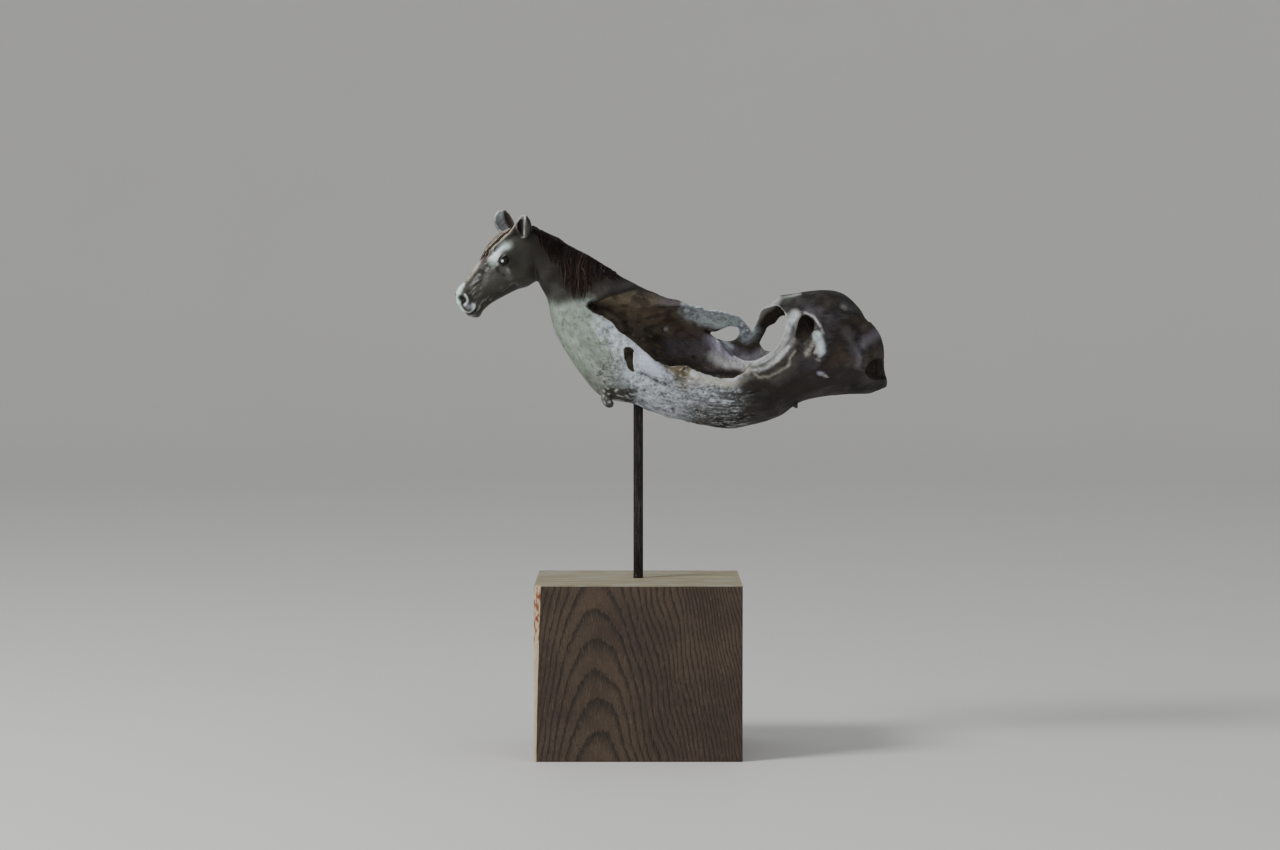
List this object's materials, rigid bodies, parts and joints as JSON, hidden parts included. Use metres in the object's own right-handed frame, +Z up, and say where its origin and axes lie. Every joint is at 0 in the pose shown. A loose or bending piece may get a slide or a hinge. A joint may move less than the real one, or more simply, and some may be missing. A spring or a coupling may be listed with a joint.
{
  "type": "driftwood horse head sculpture",
  "caption": "Horse's head and neck growing out of a hollow, weathered driftwood body, held on a thin steel rod above a sawn oak block.",
  "frame": {"origin": "middle of the block's underside", "axes": "+Z up, the horse looks along -X and its open flank, the near side, faces -Y"},
  "size_m": [0.2209, 0.09, 0.2781],
  "materials": {
    "weathered_driftwood": "weathered, pitted, partly painted, with a reddish-brown mane",
    "dark_steel": "dark, slightly worn",
    "oak": "sawn, dry, unsealed"
  },
  "bodies": {
    "root": {"driftwood_horse": "weathered_driftwood", "support_rod": "dark_steel", "oak_block": "oak"}
  },
  "joints": []
}
